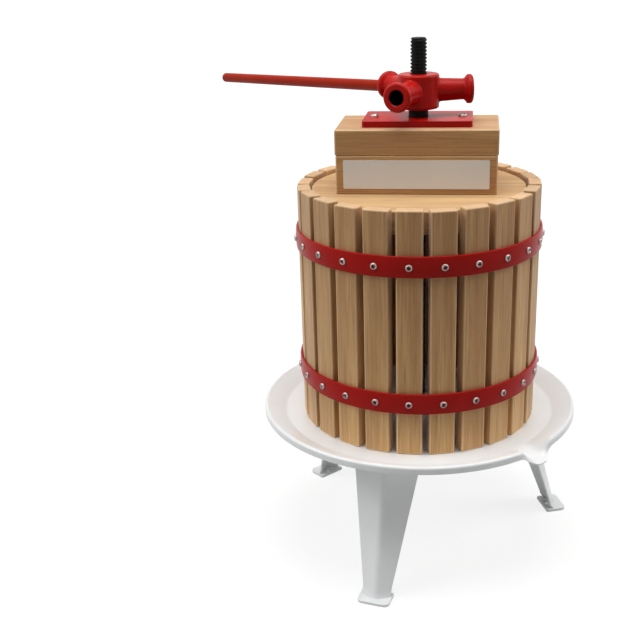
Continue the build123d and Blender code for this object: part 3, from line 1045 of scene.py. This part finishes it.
# Capstan nut: cast hub with three flanged sockets, its edges softened as castings are
nut = {
    "hubRadius": 17.8,
    "hubBevel": 1.2,
    "hubSegments": 96,
    "sockets": (98.7, 218.7, 338.7),
    "socketZ": 422.8,
    "socketRoot": 10.9,
    "socketTaper": 3.0,
    "socketSegments": 64,
    "reach": 46.5,
    "flangeRadius": 12.4,
    "flangeWidth": 6.0,
    "flangeBevel": 1.4,
    "flangeStart": (-1.5, 0.3),  # where the neck begins to widen, and where it has become the flange
    "bore": 6.6,
    "boreDepth": 30.0,
    "boreTip": 1.5,
    "boreSegments": 40,
    "boreOvercut": 2.2,
    "spindleBore": 7.3,
    "spindleSegments": 64,
    "spindleOvercut": 3.0,
    "countersink": 0.8,
    "bareShadeDepth": 2.0,  # how far beyond the bore, inwards and sideways, a face is bare and painted dark as shade
    "bareShadeMargin": 0.15,
    "grain": 0.65,  # mm, the rough casting is meshed this finely
    "softening": 3,
}


def buildNut():
    bottom, top = heights("capstan_nut")
    radius, bevel = nut["hubRadius"], nut["hubBevel"]
    body = lathe([
        (0, bottom), (radius - bevel, bottom), (radius, bottom + bevel),
        (radius, top - bevel), (radius - bevel, top), (0, top),
    ], nut["hubSegments"])
    root, reach, flange, edge = nut["socketRoot"], nut["reach"], nut["flangeRadius"], nut["flangeBevel"]
    start = reach - nut["flangeWidth"]
    widens, widened = (start + offset for offset in nut["flangeStart"])
    neck = root - widens * math.tan(math.radians(nut["socketTaper"]))
    socket = lathe([
        (0, 0), (root, 0), (neck, widens), (flange - edge, widened),
        (flange, start + edge), (flange, reach - edge), (flange - edge, reach), (0, reach),
    ], nut["socketSegments"])
    raised = Matrix.Translation((0, 0, nut["socketZ"]))
    lying = Matrix.Rotation(math.pi / 2, 4, "Y")
    places = [raised @ turned(azimuth) @ lying for azimuth in nut["sockets"]]
    placed(socket, places, body)

    bore, sink, over = nut["bore"], nut["countersink"], nut["boreOvercut"]
    inner = reach - nut["boreDepth"]
    drill = lathe([
        (0, inner - nut["boreTip"]), (bore, inner), (bore, reach - sink),
        (bore + (sink + over), reach + over), (0, reach + over),
    ], nut["boreSegments"])
    through, over = nut["spindleBore"], nut["spindleOvercut"]
    mouth = through + (sink + over)
    longDrill = lathe([
        (0, bottom - over), (mouth, bottom - over), (through, bottom + sink),
        (through, top - sink), (mouth, top + over), (0, top + over),
    ], nut["spindleSegments"])
    cutters = placed(longDrill, [Matrix.Identity(4)], placed(drill, places))

    casting = helperObject(body)
    remesh = casting.modifiers.new("one casting", "REMESH")
    remesh.mode = "VOXEL"
    remesh.voxel_size = nut["grain"]
    soften = casting.modifiers.new("soft edges", "SMOOTH")
    soften.iterations = nut["softening"]
    drilled = combined(casting, helperObject(cutters), "DIFFERENCE")
    piece = makePiece(
        "capstan_nut_cast", drilled, redCasting, "capstan", ["capstan_nut"],
        smooth=38, weighted=False,
    )
    piece.data.materials.append(boreShadeIron)  # the paint stops at each bore's mouth; inside is painted dark as shade
    axes = [outward(azimuth) for azimuth in nut["sockets"]]
    for polygon in piece.data.polygons:
        spot = polygon.center / mm - up * nut["socketZ"]
        for axis in axes:
            along = spot.dot(axis)
            off = (spot - axis * along).length
            if along > inner - nut["bareShadeDepth"] and off < bore + nut["bareShadeMargin"]:
                polygon.material_index = 1


buildNut()
print("capstan nut made")


# Lever bar: plain round bar, its ends rounded over, lying loose in the rear left socket
lever = {
    "azimuth": nut["sockets"][1],
    "radius": 5.1,
    "length": 352.0,
    "droop": 4.2,
    "endGap": 1.0,
    "round": 1.4,
    "segments": 32,
}


def buildLever():
    radius, length, edge = lever["radius"], lever["length"], lever["round"]
    corners = [(0, 0, 0), (radius, 0, edge), (radius, length, edge), (0, length, 0)]
    bm = lathe(roundedPath(corners, closed=False), lever["segments"])
    droop = math.radians(lever["droop"])
    direction = outward(lever["azimuth"]) * math.cos(droop) - up * math.sin(droop)
    middle = outward(lever["azimuth"]) * (nut["reach"] - nut["boreDepth"] / 2) + up * nut["socketZ"]
    start = middle - direction * (nut["boreDepth"] / 2 - lever["endGap"])
    bm.transform(Matrix.Translation(start) @ direction.to_track_quat("Z", "Y").to_matrix().to_4x4())
    makePiece("lever_bar_painted", bm, redBar, "lever", ["lever_bar"])


buildLever()
print("lever made")


# The long screws inside the stack keep their solid, in zinc
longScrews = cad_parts["stack_screws"].data
longScrews.materials.clear()
longScrews.materials.append(zincSteel)
print("long screws plated")


# Studio: white paper on a grey floor, both fading into white to the camera, soft boxes at the sides and above
studio = {
    "floorSize": 40.0,
    "floorRoughness": 0.9,
    "paperColour": "#dcdcda",
    "floorColour": "#6d6d6b",  # throws back less light than the paper
    "paperEdge": (0.3, 0.6),  # metres from the spindle, where the paper passes into the floor
    "floorSeen": "#7e7e7d",  # under the glow that makes it white to the camera
    "glow": (0.8, 1.0),  # near and far
    "glowEdge": (0.4, 2.4),
    "ambient": 0.03,
    "boxes": {
        "left box": {"azimuth": -76.0, "elevation": 38.0, "distance": 1.9, "size": 1.1, "power": 17.5},
        "right box": {"azimuth": 96.0, "elevation": 38.0, "distance": 1.9, "size": 1.1, "power": 15.0},
        "top box": {"azimuth": 0.0, "elevation": 88.0, "distance": 2.2, "size": 1.6, "power": 46.0},
    },
    "aim": (0.0, 0.0, 0.26),
}
white = (1, 1, 1, 1)


def seenDirectly(tree):  # 1 for what the camera sees, also in a reflection or through glass
    rays = addNode(tree, "LightPath", {}).outputs
    sharp = addNode(
        tree, "Math", {"operation": "MAXIMUM"}, {0: rays["Is Glossy Ray"], 1: rays["Is Transmission Ray"]}
    )
    seen = addNode(tree, "Math", {"operation": "MAXIMUM"}, {0: rays["Is Camera Ray"], 1: sharp.outputs[0]})
    return seen.outputs[0]


def studioPaper():
    material, tree, surface = newMaterial("studio paper")
    seen = seenDirectly(tree)
    place = addNode(tree, "TexCoord", {}).outputs["Object"]
    away = addNode(tree, "VectorMath", {"operation": "LENGTH"}, {0: place}).outputs["Value"]
    start, end = studio["paperEdge"]
    beyond = addNode(tree, "MapRange", {"From Min": start, "From Max": end}, {"Value": away})
    ground = addNode(
        tree, "Mix",
        {"data_type": "RGBA", 6: hexColour(studio["paperColour"]), 7: hexColour(studio["floorColour"])},
        {0: beyond.outputs[0]},
    )
    paper = addNode(
        tree, "Mix", {"data_type": "RGBA", 7: hexColour(studio["floorSeen"])}, {0: seen, 6: ground.outputs[2]}
    )
    start, end = studio["glowEdge"]
    near, far = studio["glow"]
    fade = {"From Min": start, "From Max": end, "To Min": near, "To Max": far}
    level = addNode(tree, "MapRange", {**fade, "interpolation_type": "SMOOTHSTEP"}, {"Value": away})
    glow = addNode(tree, "Math", {"operation": "MULTIPLY"}, {0: level.outputs[0], 1: seen})
    setNode(
        tree, surface, {"Emission Color": white, "Roughness": studio["floorRoughness"]},
        {"Base Color": paper.outputs[2], "Emission Strength": glow.outputs[0]},
    )
    return material


def buildFloor():
    bm = bmesh.new()
    bmesh.ops.create_grid(bm, x_segments=1, y_segments=1, size=studio["floorSize"])
    mesh = bpy.data.meshes.new("floor")
    bm.to_mesh(mesh)
    bm.free()
    mesh.materials.append(studioPaper())
    floor = bpy.data.objects.new("floor", mesh)
    bpy.context.scene.collection.objects.link(floor)


def buildAir():  # white to the camera, faint as a light
    world = bpy.data.worlds.new("studio air")
    world.use_nodes = True
    bpy.context.scene.world = world
    tree = world.node_tree
    seen = seenDirectly(tree)
    level = addNode(tree, "MapRange", {"To Min": studio["ambient"], "To Max": 1.0}, {"Value": seen})
    setNode(tree, tree.nodes["Background"], {"Color": white}, {"Strength": level.outputs[0]})


def buildLamps():
    for name, box in studio["boxes"].items():
        lamp = bpy.data.lights.new(name, "AREA")
        lamp.energy = box["power"]
        lamp.size = box["size"]
        light = bpy.data.objects.new(name, lamp)
        bpy.context.scene.collection.objects.link(light)
        elevation = math.radians(box["elevation"])
        way = outward(box["azimuth"]) * math.cos(elevation) + up * math.sin(elevation)
        light.location = Vector(studio["aim"]) + way * box["distance"]
        light.rotation_euler = (-way).to_track_quat("-Z", "Y").to_euler()


buildFloor()
buildAir()
buildLamps()
print("studio made")


# Camera: a little above the basket, tipped down at it
view = {
    "place": (34.6, -931.7, 558.1),  # mm
    "yaw": -7.71,
    "pitch": 20.28,
    "roll": -1.77,
    "lens": 60.04,
    "sensor": 36.0,
    "clipStart": 0.05,
}


def buildCamera():
    data = bpy.data.cameras.new("camera")
    data.sensor_width = view["sensor"]
    data.lens = view["lens"]
    data.clip_start = view["clipStart"]
    camera = bpy.data.objects.new("camera", data)
    bpy.context.scene.collection.objects.link(camera)
    yaw, pitch, roll = (math.radians(view[key]) for key in ("yaw", "pitch", "roll"))
    ahead = Vector((math.sin(yaw) * math.cos(pitch), math.cos(yaw) * math.cos(pitch), -math.sin(pitch)))
    right = Vector((math.cos(yaw), -math.sin(yaw), 0))
    above = right.cross(ahead)
    turnedRight = right * math.cos(roll) + above * math.sin(roll)
    turnedAbove = above * math.cos(roll) - right * math.sin(roll)
    basis = Matrix((turnedRight, turnedAbove, -ahead)).transposed()
    camera.matrix_world = Matrix.Translation(Vector(view["place"]) * mm) @ basis.to_4x4()
    bpy.context.scene.camera = camera


buildCamera()
bpy.context.scene.view_settings.view_transform = "Standard"
